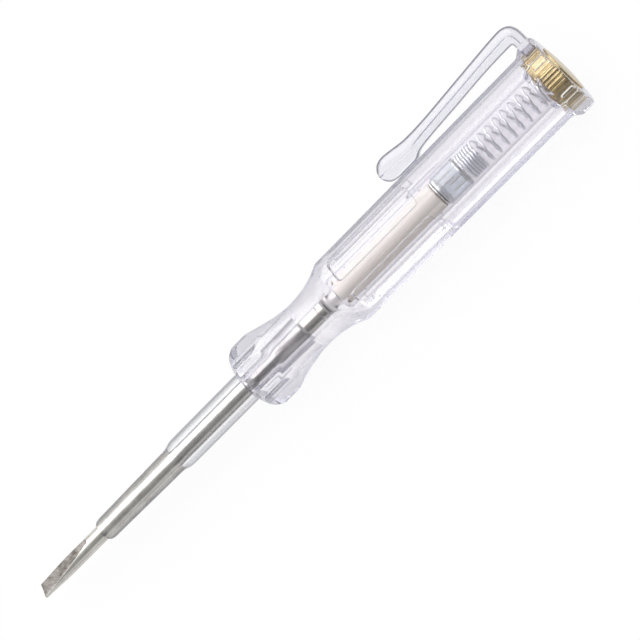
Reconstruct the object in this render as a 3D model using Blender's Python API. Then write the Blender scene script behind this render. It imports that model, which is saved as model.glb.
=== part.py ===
"""Neon voltage tester with a screwdriver blade, a clear handle and a pocket clip.

The pen lies along X: the blade's edge points to -X, the brass cap to +X, the
clip to +Y. It rests on the lowest flat of its handle, which is Z = 0. The
origin is the middle of the box round the whole object, on that surface.
"""

import math

import bmesh
import bpy
from mathutils import Euler, Matrix, Vector

MM = 0.001

# Clearances
FIT_GAP = 0.3 * MM
CUT_OVERRUN = 1.0 * MM
MERGE_DISTANCE = 0.0002 * MM

# Blade and shaft
BLADE_EXPOSED = 17.73 * MM
SHAFT_RADIUS = 1.65 * MM
GRIND_LENGTH = 14.2 * MM
EDGE_THICKNESS = 0.5 * MM
BLADE_ROLL = math.radians(45.0)
SHAFT_DEPTH_IN_HANDLE = 21.0 * MM
SHAFT_GROOVE_WIDTH = 0.4 * MM
SHAFT_GROOVE_DEPTH = 0.35 * MM
SHAFT_HEAD_LENGTH = 1.3 * MM
SHAFT_CHAMFER = 0.3 * MM

# Insulating sleeve
SLEEVE_NOSE_WALL = 0.41 * MM
SLEEVE_NOSE_LENGTH = 1.3 * MM
SLEEVE_THIN_LENGTH = 19.3 * MM
SLEEVE_THIN_WALL = 0.66 * MM
SLEEVE_STEP_LENGTH = 3.6 * MM
SLEEVE_THICK_WALL = 1.2 * MM
SLEEVE_THICK_EXPOSED = 18.5 * MM
SLEEVE_DEPTH_IN_HANDLE = 14.9 * MM

# Handle, measured from its nose
HANDLE_LENGTH = 79.8 * MM
NOSE_LENGTH = 2.9 * MM
NOSE_LIP = 0.5 * MM
COLLAR_LAND = 2.4 * MM
COLLAR_ACROSS_FLATS = 12.3 * MM
COLLAR_CORNER_WIDTH = 0.21 * MM
COLLAR_END_DEPTH = 22.9 * MM
WAIST_DEPTH = 15.85 * MM
WAIST_RADIUS = 5.07 * MM
WAIST_SAG = 0.5 * MM
SHOULDER_DEPTH = 27.25 * MM
SHOULDER_SAG = 0.25 * MM
GRIP_ACROSS_RIBS = 14.5 * MM
GRIP_RIB_WIDTH = 2.44 * MM
PANEL_START = 26.95 * MM
PANEL_LENGTH = 19.7 * MM
PANEL_BORDER = 0.215 * MM
PANEL_DEPTH = 0.55 * MM
PANEL_CORNER_RADIUS = 0.9 * MM
BLANK_EXCESS = 0.125 * MM

# Flange at the rear of the handle
FLANGE_CORNER_WIDTH = 1.114 * MM
FLANGE_LAND = 1.8 * MM
FLANGE_FLARE = 1.9 * MM
FLANGE_ROUNDING = 0.9 * MM

# Chamber in the handle
LAMP_ROOM = 0.75 * MM
SHOULDER_ROOM = 0.339 * MM
CHAMBER_REAR_TAPER = 1.9 * MM

# Brass cap
CAP_BARREL_RADIUS = 4.45 * MM
CAP_BARREL_LENGTH = 3.5 * MM
CAP_NOSE_RADIUS = 2.9 * MM
CAP_NOSE_LENGTH = 0.9 * MM
CAP_FLUTE_DEPTH = 0.16 * MM
CAP_HEAD_OVERHANG = 0.35 * MM
CAP_HEAD_EDGE = 0.35 * MM
CAP_DOME = 0.35 * MM
CAP_SEAT_DEPTH = 0.5 * MM

# Resistor
RESISTOR_RADIUS = 2.15 * MM
RESISTOR_BODY_LENGTH = 24.5 * MM
CONTACT_CAP_LENGTH = 2.2 * MM
CONTACT_NOSE_LENGTH = 1.0 * MM
CONTACT_NOSE_RADIUS = 1.3 * MM
CONTACT_DISC_THICKNESS = 0.25 * MM

# Neon lamp
LAMP_RADIUS = 2.65 * MM
LAMP_LENGTH = 5.2 * MM
LAMP_WALL = 0.25 * MM
LAMP_PLUG_LENGTH = 0.5 * MM
ELECTRODE_RADIUS = 0.2 * MM
ELECTRODE_LENGTH = 2.6 * MM
ELECTRODE_OFFSET = 0.6 * MM

# Contact spring
SPRING_WIRE_RADIUS = 0.225 * MM
SPRING_RADIUS = 2.15 * MM

# Pocket clip
CLIP_LENGTH = 35.0 * MM
CLIP_WIDTH = 5.5 * MM
CLIP_RISE = 4.45 * MM
CLIP_THICKNESS = 3.3 * MM
CLIP_FOOT_LENGTH = 8.6 * MM
CLIP_ROOT_THICKNESS = 2.35 * MM
TENON_THICKNESS = 2.0 * MM
TENON_WIDTH = 4.0 * MM
TENON_WALL = 0.5 * MM
CLIP_BACK_ROUNDING = 2.2 * MM

# The clip's side view, as shares of the room between the body and its top, and of its foot
TOE_SHARE = 0.45
CREST_SHARE = 0.83
DIP_SHARE = 0.70
HOLLOW_SHARE = 0.15
CREST_PLACE_SHARE = 0.30

# Counts
ROUND_SIDES = 48
SMALL_ROUND_SIDES = 32
ARC_STEPS = 5
CURVE_STEPS = 7
GRIP_SIDES = 6
CAP_FLUTES = 36
SPRING_CLOSE_TURNS = 4
SPRING_OPEN_TURNS = 8
SPRING_END_TURNS = 1
SPRING_POINTS_PER_TURN = 10
SPRING_CLOSE_PITCH_IN_WIRES = 1.95

# Stations along X, from the blade's edge to the cap
OVERALL_LENGTH = (BLADE_EXPOSED + SLEEVE_THIN_LENGTH + SLEEVE_STEP_LENGTH + SLEEVE_THICK_EXPOSED
                  + HANDLE_LENGTH - CAP_SEAT_DEPTH + FIT_GAP + CAP_HEAD_EDGE + CAP_DOME)
EDGE_X = -OVERALL_LENGTH / 2
SLEEVE_X = EDGE_X + BLADE_EXPOSED
NOSE_X = SLEEVE_X + SLEEVE_THIN_LENGTH + SLEEVE_STEP_LENGTH + SLEEVE_THICK_EXPOSED
HANDLE_END_X = NOSE_X + HANDLE_LENGTH
SHAFT_TAIL_X = NOSE_X + SHAFT_DEPTH_IN_HANDLE
CAP_SEAT_X = HANDLE_END_X - CAP_SEAT_DEPTH
CAP_HEAD_X = CAP_SEAT_X + FIT_GAP
CAP_BARREL_X = CAP_HEAD_X - CAP_BARREL_LENGTH
CAP_NOSE_X = CAP_BARREL_X - CAP_NOSE_LENGTH
FRONT_CONTACT_X = SHAFT_TAIL_X + FIT_GAP
RESISTOR_X = FRONT_CONTACT_X + CONTACT_NOSE_LENGTH + CONTACT_CAP_LENGTH + FIT_GAP
REAR_CONTACT_X = RESISTOR_X + RESISTOR_BODY_LENGTH + FIT_GAP
LAMP_X = REAR_CONTACT_X + CONTACT_DISC_THICKNESS + FIT_GAP
LAMP_TAIL_X = LAMP_X + LAMP_LENGTH
SPRING_X = LAMP_TAIL_X + FIT_GAP + SPRING_WIRE_RADIUS
SPRING_END_X = CAP_NOSE_X - FIT_GAP - SPRING_WIRE_RADIUS

# Bores, and the walls round them
SHAFT_BORE_RADIUS = SHAFT_RADIUS + FIT_GAP
SLEEVE_NOSE_RADIUS = SHAFT_BORE_RADIUS + SLEEVE_NOSE_WALL
SLEEVE_THIN_RADIUS = SHAFT_BORE_RADIUS + SLEEVE_THIN_WALL
SLEEVE_THICK_RADIUS = SHAFT_BORE_RADIUS + SLEEVE_THICK_WALL
SLEEVE_BORE_RADIUS = SLEEVE_THICK_RADIUS + FIT_GAP
CHAMBER_RADIUS = LAMP_RADIUS + LAMP_ROOM
CAP_HEAD_RADIUS = CAP_BARREL_RADIUS + CAP_HEAD_OVERHANG
CAP_BORE_RADIUS = CAP_BARREL_RADIUS + FIT_GAP

# The chamber's front cone passes the resistor's shoulder with room
CONE_RISE = RESISTOR_RADIUS + SHOULDER_ROOM - SHAFT_BORE_RADIUS
CHAMBER_FRONT_TAPER = (FIT_GAP + CONTACT_NOSE_LENGTH) * (CHAMBER_RADIUS - SHAFT_BORE_RADIUS) / CONE_RISE

# The twelve-sided sections: six flats that face Z and every sixth of a turn, and six sides
HALF_SIXTH = math.pi / GRIP_SIDES
COLLAR_FLAT_HEIGHT = COLLAR_ACROSS_FLATS / 2
COLLAR_SIDE_HEIGHT = ((COLLAR_FLAT_HEIGHT - COLLAR_CORNER_WIDTH / 2 * math.sin(HALF_SIXTH))
                      / math.cos(HALF_SIXTH))
RIB_HEIGHT = GRIP_ACROSS_RIBS / 2
SIDE_HEIGHT = RIB_HEIGHT * math.cos(HALF_SIXTH) + GRIP_RIB_WIDTH / 2 * math.sin(HALF_SIXTH)
SIDE_WIDTH = 2 * (RIB_HEIGHT - SIDE_HEIGHT * math.cos(HALF_SIXTH)) / math.sin(HALF_SIXTH)
PANEL_WIDTH = SIDE_WIDTH - 2 * PANEL_BORDER
FLANGE_RADIUS = (RIB_HEIGHT - FLANGE_CORNER_WIDTH / 2 * math.sin(HALF_SIXTH)) / math.cos(HALF_SIXTH)

# The pen's axis above the surface it lies on, and beside the origin
CLIP_OUTER_HEIGHT = FLANGE_RADIUS + CLIP_RISE
AXIS_Z = RIB_HEIGHT
AXIS_Y = (FLANGE_RADIUS - CLIP_OUTER_HEIGHT) / 2

# Where the clip's tenon sits in the flange
TENON_FLOOR = CAP_BORE_RADIUS + TENON_WALL
FLANGE_MIDDLE_X = HANDLE_END_X - FLANGE_ROUNDING - FLANGE_LAND / 2
TENON_BOTTOM = TENON_FLOOR + FIT_GAP
TENON_MIDDLE = (TENON_BOTTOM + FLANGE_RADIUS) / 2


def clear_scene():
    """Remove whatever the open file holds."""
    for old in list(bpy.data.objects):
        bpy.data.objects.remove(old, do_unlink=True)


def make_material(name, colour, roughness, metallic=0.0):
    """A plain Principled material."""
    material = bpy.data.materials.new(name)
    material.use_nodes = True
    shader = material.node_tree.nodes["Principled BSDF"]
    shader.inputs["Base Color"].default_value = (*colour, 1.0)
    shader.inputs["Roughness"].default_value = roughness
    shader.inputs["Metallic"].default_value = metallic
    material.diffuse_color = (*colour, 1.0)
    return material


def add_object(name, mesh, location, material=None):
    """An object of the scene that carries the mesh."""
    body = bpy.data.objects.new(name, mesh)
    body.location = location
    bpy.context.scene.collection.objects.link(body)
    if material is not None:
        mesh.materials.append(material)
    return body


def on_axis(x):
    """The point of the pen's axis at a station."""
    return Vector((x, AXIS_Y, AXIS_Z))


def finish_mesh(name, shape):
    """Turn a bmesh into a mesh with its faces pointing out."""
    bmesh.ops.remove_doubles(shape, verts=shape.verts, dist=MERGE_DISTANCE)
    bmesh.ops.recalc_face_normals(shape, faces=shape.faces)
    mesh = bpy.data.meshes.new(name)
    shape.to_mesh(mesh)
    shape.free()
    return mesh


def shade_round(mesh, angle=math.radians(30.0)):
    """Smooth shading that keeps the edges above an angle."""
    mesh.shade_smooth()
    mesh.set_sharp_from_angle(angle=angle)


def turned_mesh(name, outline, sides, closed=False):
    """Spin an outline of (x, radius) points about X."""
    shape = bmesh.new()
    corners = [shape.verts.new((x, 0.0, radius)) for x, radius in outline]
    edges = [shape.edges.new(pair) for pair in zip(corners, corners[1:])]
    if closed:
        edges.append(shape.edges.new((corners[-1], corners[0])))
    bmesh.ops.spin(shape, geom=corners + edges, cent=(0.0, 0.0, 0.0), axis=(1.0, 0.0, 0.0),
                   angle=math.tau, steps=sides, use_merge=True)
    mesh = finish_mesh(name, shape)
    shade_round(mesh)
    return mesh


def loft_mesh(name, sections):
    """Join closed loops of equal point counts, and cap both ends."""
    shape = bmesh.new()
    rings = [[shape.verts.new(point) for point in section] for section in sections]
    for ring, following in zip(rings, rings[1:]):
        for index, corner in enumerate(ring):
            beside = (index + 1) % len(ring)
            shape.faces.new((corner, ring[beside], following[beside], following[index]))
    shape.faces.new(rings[0])
    shape.faces.new(rings[-1])
    return finish_mesh(name, shape)


def bezier(start, pull, push, end, steps):
    """Points of a cubic curve, without its first one."""
    points = []
    for step in range(1, steps + 1):
        t = step / steps
        u = 1 - t
        weights = (u ** 3, 3 * u * u * t, 3 * u * t * t, t ** 3)
        points.append(tuple(sum(w * p[axis] for w, p in zip(weights, (start, pull, push, end)))
                            for axis in range(2)))
    return points


def quarter_round(start, end, steps):
    """Quarter of an ellipse that leaves start along the radius and reaches end along X."""
    points = []
    for step in range(1, steps + 1):
        turn = math.pi / 2 * step / steps
        points.append((end[0] + (start[0] - end[0]) * math.cos(turn),
                       start[1] + (end[1] - start[1]) * math.sin(turn)))
    return points


def reversed_quarter(start, end, steps):
    """Quarter of an ellipse that leaves start along X and reaches end along the radius."""
    points = []
    for step in range(1, steps + 1):
        turn = math.pi / 2 * step / steps
        points.append((start[0] + (end[0] - start[0]) * math.sin(turn),
                       end[1] + (start[1] - end[1]) * math.cos(turn)))
    return points


def mark_cutter(cutter):
    """A cutter shows as wire and is no part of the object."""
    cutter.display_type = "WIRE"
    cutter.hide_render = True
    return cutter


def add_boolean(body, cutter, operation):
    """Cut or keep a body by another solid."""
    modifier = body.modifiers.new(f"{operation.title()} {cutter.name}", "BOOLEAN")
    modifier.operation = operation
    modifier.solver = "EXACT"
    modifier.object = cutter


def block(name, size, centre):
    """Plain block with its sides along the axes."""
    shape = bmesh.new()
    bmesh.ops.create_cube(shape, size=1.0)
    bmesh.ops.scale(shape, vec=size, verts=shape.verts)
    return mark_cutter(add_object(name, finish_mesh(name, shape), centre))


def faceted_section(x, flat, side):
    """Twelve corners round flats and sides that lie at these distances from the axis."""
    half_flat = (side - flat * math.cos(HALF_SIXTH)) / math.sin(HALF_SIXTH)
    points = []
    for index in range(GRIP_SIDES):
        turn = index * 2 * HALF_SIXTH
        outward = Vector((0.0, math.sin(turn), math.cos(turn)))
        along = Vector((0.0, math.cos(turn), -math.sin(turn)))
        for reach in (-half_flat, half_flat):
            points.append(Vector((x, 0.0, 0.0)) + outward * flat + along * reach)
    return points


def build_shaft(material):
    """Plated rod, turned with a groove and a head at its tail and ground to a flat blade."""
    length = SHAFT_TAIL_X - EDGE_X
    groove_end = length - SHAFT_HEAD_LENGTH
    groove_start = groove_end - SHAFT_GROOVE_WIDTH
    groove_radius = SHAFT_RADIUS - SHAFT_GROOVE_DEPTH
    outline = [
        (0.0, 0.0),
        (0.0, SHAFT_RADIUS),
        (GRIND_LENGTH, SHAFT_RADIUS),
        (groove_start, SHAFT_RADIUS),
        (groove_start, groove_radius),
        (groove_end, groove_radius),
        (groove_end, SHAFT_RADIUS),
        (length - SHAFT_CHAMFER, SHAFT_RADIUS),
        (length, SHAFT_RADIUS - SHAFT_CHAMFER),
        (length, 0.0),
    ]
    mesh = turned_mesh("blade_shaft", outline, SMALL_ROUND_SIDES)
    shaft = add_object("blade_shaft", mesh, on_axis(EDGE_X), material)
    slope = math.atan2(SHAFT_RADIUS - EDGE_THICKNESS / 2, GRIND_LENGTH)
    roll = Matrix.Rotation(-BLADE_ROLL, 3, "X")
    for side in (1, -1):
        shape = bmesh.new()
        shape.from_mesh(mesh)
        normal = roll @ Vector((-math.sin(slope), 0.0, side * math.cos(slope)))
        foot = roll @ Vector((0.0, 0.0, side * EDGE_THICKNESS / 2))
        cut = bmesh.ops.bisect_plane(shape, geom=shape.verts[:] + shape.edges[:] + shape.faces[:],
                                     plane_co=foot, plane_no=normal, clear_outer=True)
        rim = [piece for piece in cut["geom_cut"] if isinstance(piece, bmesh.types.BMEdge)]
        bmesh.ops.contextual_create(shape, geom=rim)
        bmesh.ops.recalc_face_normals(shape, faces=shape.faces)
        shape.to_mesh(mesh)
        shape.free()
    shade_round(mesh)
    return shaft


def build_sleeve(material):
    """Clear tube over the shaft, thin in front, thick at the handle and on into it."""
    bore = SHAFT_BORE_RADIUS
    thin_end = SLEEVE_THIN_LENGTH
    thick_start = thin_end + SLEEVE_STEP_LENGTH
    length = thick_start + SLEEVE_THICK_EXPOSED + SLEEVE_DEPTH_IN_HANDLE
    lip = (bore + SLEEVE_NOSE_RADIUS) / 2
    step_pull = SLEEVE_STEP_LENGTH / 2
    outline = [(0.0, bore), (0.0, lip)]
    outline += quarter_round((0.0, lip), (SLEEVE_NOSE_LENGTH, SLEEVE_NOSE_RADIUS), ARC_STEPS)
    outline.append((thin_end, SLEEVE_THIN_RADIUS))
    outline += bezier((thin_end, SLEEVE_THIN_RADIUS), (thin_end + step_pull, SLEEVE_THIN_RADIUS),
                      (thick_start - step_pull, SLEEVE_THICK_RADIUS),
                      (thick_start, SLEEVE_THICK_RADIUS), ARC_STEPS)
    outline += [(length, SLEEVE_THICK_RADIUS), (length, bore)]
    mesh = turned_mesh("insulating_sleeve", outline, SMALL_ROUND_SIDES, closed=True)
    return add_object("insulating_sleeve", mesh, on_axis(SLEEVE_X), material)


def handle_blank():
    """Turned blank of the handle: round nose, waist and flange, with room for the flats."""
    land_start = NOSE_LENGTH
    land_end = NOSE_LENGTH + COLLAR_LAND
    collar = COLLAR_SIDE_HEIGHT + BLANK_EXCESS
    mouth = SLEEVE_BORE_RADIUS + NOSE_LIP
    flange_blank = FLANGE_RADIUS + BLANK_EXCESS
    waist_pull = (WAIST_DEPTH - land_end) / 2
    shoulder_pull = (SHOULDER_DEPTH - WAIST_DEPTH) / 2
    shoulder_push = shoulder_pull / 2
    rounding_start = HANDLE_LENGTH - FLANGE_ROUNDING
    outline = [(0.0, 0.0), (0.0, mouth)]
    outline += quarter_round((0.0, mouth), (land_start, collar), CURVE_STEPS)
    outline.append((land_end, collar))
    outline += bezier((land_end, collar), (land_end + waist_pull, (collar + WAIST_RADIUS) / 2 - WAIST_SAG),
                      (WAIST_DEPTH - waist_pull / 2, WAIST_RADIUS), (WAIST_DEPTH, WAIST_RADIUS),
                      CURVE_STEPS)
    outline += bezier((WAIST_DEPTH, WAIST_RADIUS), (WAIST_DEPTH + shoulder_pull, WAIST_RADIUS),
                      (SHOULDER_DEPTH - shoulder_push, RIB_HEIGHT - SHOULDER_SAG),
                      (SHOULDER_DEPTH, flange_blank), CURVE_STEPS)
    outline.append((rounding_start, flange_blank))
    outline += reversed_quarter((rounding_start, flange_blank), (HANDLE_LENGTH, SIDE_HEIGHT), ARC_STEPS)
    outline.append((HANDLE_LENGTH, 0.0))
    return turned_mesh("handle", outline, ROUND_SIDES)


def facet_cutter():
    """Faceted envelope: hexagonal collar, ribbed grip and hexagonal flange."""
    flare_end = HANDLE_LENGTH - FLANGE_ROUNDING - FLANGE_LAND
    flare_start = flare_end - FLANGE_FLARE
    sections = [
        faceted_section(-CUT_OVERRUN, COLLAR_FLAT_HEIGHT, COLLAR_SIDE_HEIGHT),
        faceted_section(COLLAR_END_DEPTH, COLLAR_FLAT_HEIGHT, COLLAR_SIDE_HEIGHT),
        faceted_section(SHOULDER_DEPTH, RIB_HEIGHT, SIDE_HEIGHT),
        faceted_section(flare_start, RIB_HEIGHT, SIDE_HEIGHT),
        faceted_section(flare_end, RIB_HEIGHT, FLANGE_RADIUS),
        faceted_section(HANDLE_LENGTH + CUT_OVERRUN, RIB_HEIGHT, FLANGE_RADIUS),
    ]
    mesh = loft_mesh("facet_envelope", sections)
    return mark_cutter(add_object("facet_envelope", mesh, on_axis(NOSE_X)))


def panel_cutter(index):
    """Block with round corners that sinks one panel between two ribs."""
    shape = bmesh.new()
    bmesh.ops.create_cube(shape, size=1.0)
    height = PANEL_DEPTH + CUT_OVERRUN
    bmesh.ops.scale(shape, vec=(PANEL_LENGTH, PANEL_WIDTH, height), verts=shape.verts)
    upright = [edge for edge in shape.edges
               if abs(edge.verts[0].co.z - edge.verts[1].co.z) > PANEL_DEPTH]
    bmesh.ops.bevel(shape, geom=upright, offset=PANEL_CORNER_RADIUS, segments=ARC_STEPS,
                    profile=0.5, affect="EDGES")
    bmesh.ops.translate(shape, vec=(0.0, 0.0, SIDE_HEIGHT - PANEL_DEPTH + height / 2),
                        verts=shape.verts)
    mesh = finish_mesh(f"panel_cutter_{index}", shape)
    middle = NOSE_X + PANEL_START + PANEL_LENGTH / 2
    cutter = add_object(f"panel_cutter_{index}", mesh, on_axis(middle))
    cutter.rotation_euler = Euler(((index + 0.5) * math.tau / GRIP_SIDES, 0.0, 0.0))
    return mark_cutter(cutter)


def chamber_cutter():
    """Stepped hole down the handle: sleeve, shaft, tapered chamber and cap seat."""
    sleeve_end = SLEEVE_DEPTH_IN_HANDLE + FIT_GAP
    taper_end = SHAFT_DEPTH_IN_HANDLE + CHAMBER_FRONT_TAPER
    barrel_start = CAP_BARREL_X - NOSE_X - FIT_GAP
    seat = CAP_SEAT_X - NOSE_X
    outline = [
        (-CUT_OVERRUN, 0.0),
        (-CUT_OVERRUN, SLEEVE_BORE_RADIUS),
        (sleeve_end, SLEEVE_BORE_RADIUS),
        (sleeve_end, SHAFT_BORE_RADIUS),
        (SHAFT_DEPTH_IN_HANDLE, SHAFT_BORE_RADIUS),
        (taper_end, CHAMBER_RADIUS),
        (barrel_start - CHAMBER_REAR_TAPER, CHAMBER_RADIUS),
        (barrel_start, CAP_BORE_RADIUS),
        (seat, CAP_BORE_RADIUS),
        (seat, CAP_HEAD_RADIUS + FIT_GAP),
        (HANDLE_LENGTH + CUT_OVERRUN, CAP_HEAD_RADIUS + FIT_GAP),
        (HANDLE_LENGTH + CUT_OVERRUN, 0.0),
    ]
    mesh = turned_mesh("chamber_cutter", outline, ROUND_SIDES)
    cutter = add_object("chamber_cutter", mesh, on_axis(NOSE_X))
    # Turned by half a side, so that none of its edges lies along one of the blank's
    cutter.rotation_euler = Euler((math.pi / ROUND_SIDES, 0.0, 0.0))
    return mark_cutter(cutter)


def mortise_cutter():
    """Square pocket in the flange for the clip's tenon."""
    reach = FLANGE_RADIUS + CUT_OVERRUN - TENON_FLOOR
    centre = on_axis(FLANGE_MIDDLE_X) + Vector((0.0, TENON_FLOOR + reach / 2, 0.0))
    size = (TENON_THICKNESS + 2 * FIT_GAP, reach, TENON_WIDTH + 2 * FIT_GAP)
    return block("mortise_cutter", size, centre)


def build_handle(material):
    """Clear handle: the turned blank, kept inside the facets and hollowed."""
    handle = add_object("handle", handle_blank(), on_axis(NOSE_X), material)
    add_boolean(handle, facet_cutter(), "INTERSECT")
    for index in range(GRIP_SIDES):
        add_boolean(handle, panel_cutter(index), "DIFFERENCE")
    add_boolean(handle, chamber_cutter(), "DIFFERENCE")
    add_boolean(handle, mortise_cutter(), "DIFFERENCE")
    return handle


def build_cap(material):
    """Brass cap: a fluted barrel with a tapered nose and a domed head."""
    nose = []
    front = []
    back = []
    for index in range(2 * CAP_FLUTES):
        turn = math.tau * index / (2 * CAP_FLUTES)
        radius = CAP_BARREL_RADIUS - CAP_FLUTE_DEPTH * (index % 2)
        ray = Vector((0.0, math.sin(turn), math.cos(turn)))
        nose.append(Vector((CAP_NOSE_X - CAP_HEAD_X, 0.0, 0.0)) + ray * CAP_NOSE_RADIUS)
        front.append(Vector((CAP_BARREL_X - CAP_HEAD_X, 0.0, 0.0)) + ray * radius)
        back.append(ray * radius)
    rings = [nose, front, back]
    rise = CAP_HEAD_EDGE
    rings.append([ray.normalized() * CAP_HEAD_RADIUS for ray in back])
    rings.append([ray.normalized() * CAP_HEAD_RADIUS + Vector((rise, 0.0, 0.0)) for ray in back])
    for step in range(1, ARC_STEPS):
        turn = math.pi / 2 * step / ARC_STEPS
        height = rise + CAP_DOME * math.sin(turn)
        radius = CAP_HEAD_RADIUS * math.cos(turn)
        rings.append([ray.normalized() * radius + Vector((height, 0.0, 0.0)) for ray in back])
    mesh = loft_mesh("end_cap", rings)
    shade_round(mesh)
    return add_object("end_cap", mesh, on_axis(CAP_HEAD_X), material)


def build_spring():
    """Wire path of the contact spring: close turns at the lamp, open turns, one end turn."""
    close_pitch = 2 * SPRING_WIRE_RADIUS * SPRING_CLOSE_PITCH_IN_WIRES
    close_length = close_pitch * (SPRING_CLOSE_TURNS + SPRING_END_TURNS)
    open_pitch = (SPRING_END_X - SPRING_X - close_length) / SPRING_OPEN_TURNS
    pitches = ([close_pitch] * SPRING_CLOSE_TURNS + [open_pitch] * SPRING_OPEN_TURNS
               + [close_pitch] * SPRING_END_TURNS)
    points = []
    x = 0.0
    for turn, pitch in enumerate(pitches):
        for step in range(SPRING_POINTS_PER_TURN):
            angle = math.tau * step / SPRING_POINTS_PER_TURN
            points.append(Vector((x, SPRING_RADIUS * math.sin(angle), SPRING_RADIUS * math.cos(angle))))
            x += pitch / SPRING_POINTS_PER_TURN
    points.append(Vector((x, 0.0, SPRING_RADIUS)))
    return points


def least_gap(points, wire_radius, skip):
    """Smallest clear distance between stretches of wire that lie more than skip points apart."""
    nearest = min((points[j] - points[i]).length
                  for i in range(len(points)) for j in range(i + skip, len(points)))
    return nearest - 2 * wire_radius


def add_spring(material):
    """One unbroken tube along the spring's path."""
    points = build_spring()
    path = bpy.data.curves.new("contact_spring", "CURVE")
    path.dimensions = "3D"
    path.bevel_depth = SPRING_WIRE_RADIUS
    path.bevel_resolution = 1
    path.use_fill_caps = True
    spline = path.splines.new("POLY")
    spline.points.add(len(points) - 1)
    for target, point in zip(spline.points, points):
        target.co = (*point, 1.0)
    gap = least_gap(points, SPRING_WIRE_RADIUS, SPRING_POINTS_PER_TURN // 2 + 1)
    print(f"contact_spring least gap to itself: {gap / MM:.2f} mm")
    spring = bpy.data.objects.new("contact_spring", path)
    spring.location = on_axis(SPRING_X)
    path.materials.append(material)
    bpy.context.scene.collection.objects.link(spring)
    return spring


def build_resistor(body_material, contact_material):
    """Carbon resistor with a nosed contact in front and a flat one behind."""
    nose_outline = [(0.0, 0.0), (0.0, CONTACT_NOSE_RADIUS)]
    nose_outline += quarter_round((0.0, CONTACT_NOSE_RADIUS), (CONTACT_NOSE_LENGTH, RESISTOR_RADIUS),
                                  ARC_STEPS)
    total = CONTACT_NOSE_LENGTH + CONTACT_CAP_LENGTH
    nose_outline += [(total, RESISTOR_RADIUS), (total, 0.0)]
    front = turned_mesh("resistor_front_contact", nose_outline, SMALL_ROUND_SIDES)
    add_object("resistor_front_contact", front, on_axis(FRONT_CONTACT_X), contact_material)
    body_outline = [(0.0, 0.0), (0.0, RESISTOR_RADIUS), (RESISTOR_BODY_LENGTH, RESISTOR_RADIUS),
                    (RESISTOR_BODY_LENGTH, 0.0)]
    body = turned_mesh("resistor_body", body_outline, SMALL_ROUND_SIDES)
    add_object("resistor_body", body, on_axis(RESISTOR_X), body_material)
    disc_outline = [(0.0, 0.0), (0.0, RESISTOR_RADIUS), (CONTACT_DISC_THICKNESS, RESISTOR_RADIUS),
                    (CONTACT_DISC_THICKNESS, 0.0)]
    disc = turned_mesh("resistor_rear_contact", disc_outline, SMALL_ROUND_SIDES)
    add_object("resistor_rear_contact", disc, on_axis(REAR_CONTACT_X), contact_material.copy())


def build_lamp(glass_material, contact_material, electrode_material):
    """Neon lamp: a glass tube, a contact disc inside each end and an electrode on each disc."""
    bore = LAMP_RADIUS - LAMP_WALL
    tube_outline = [(0.0, bore), (0.0, LAMP_RADIUS), (LAMP_LENGTH, LAMP_RADIUS), (LAMP_LENGTH, bore)]
    tube = turned_mesh("lamp_glass", tube_outline, SMALL_ROUND_SIDES, closed=True)
    add_object("lamp_glass", tube, on_axis(LAMP_X), glass_material)
    plug = bore - FIT_GAP
    contact_outline = [(0.0, 0.0), (0.0, plug), (LAMP_PLUG_LENGTH, plug), (LAMP_PLUG_LENGTH, 0.0)]
    rod_outline = [(0.0, 0.0), (0.0, ELECTRODE_RADIUS), (ELECTRODE_LENGTH, ELECTRODE_RADIUS),
                   (ELECTRODE_LENGTH, 0.0)]
    places = (("front", LAMP_X, 1), ("rear", LAMP_TAIL_X, -1))
    for end, x, way in places:
        contact = turned_mesh(f"lamp_{end}_contact", contact_outline, SMALL_ROUND_SIDES)
        seat = add_object(f"lamp_{end}_contact", contact, on_axis(x), contact_material.copy())
        rod = turned_mesh(f"lamp_{end}_electrode", rod_outline, GRIP_SIDES * 2)
        reach = Vector((way * (LAMP_PLUG_LENGTH + FIT_GAP), way * ELECTRODE_OFFSET, 0.0))
        wire = add_object(f"lamp_{end}_electrode", rod, on_axis(x) + reach, electrode_material.copy())
        if way < 0:
            seat.rotation_euler = Euler((0.0, 0.0, math.pi))
            wire.rotation_euler = Euler((0.0, 0.0, math.pi))


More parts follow.
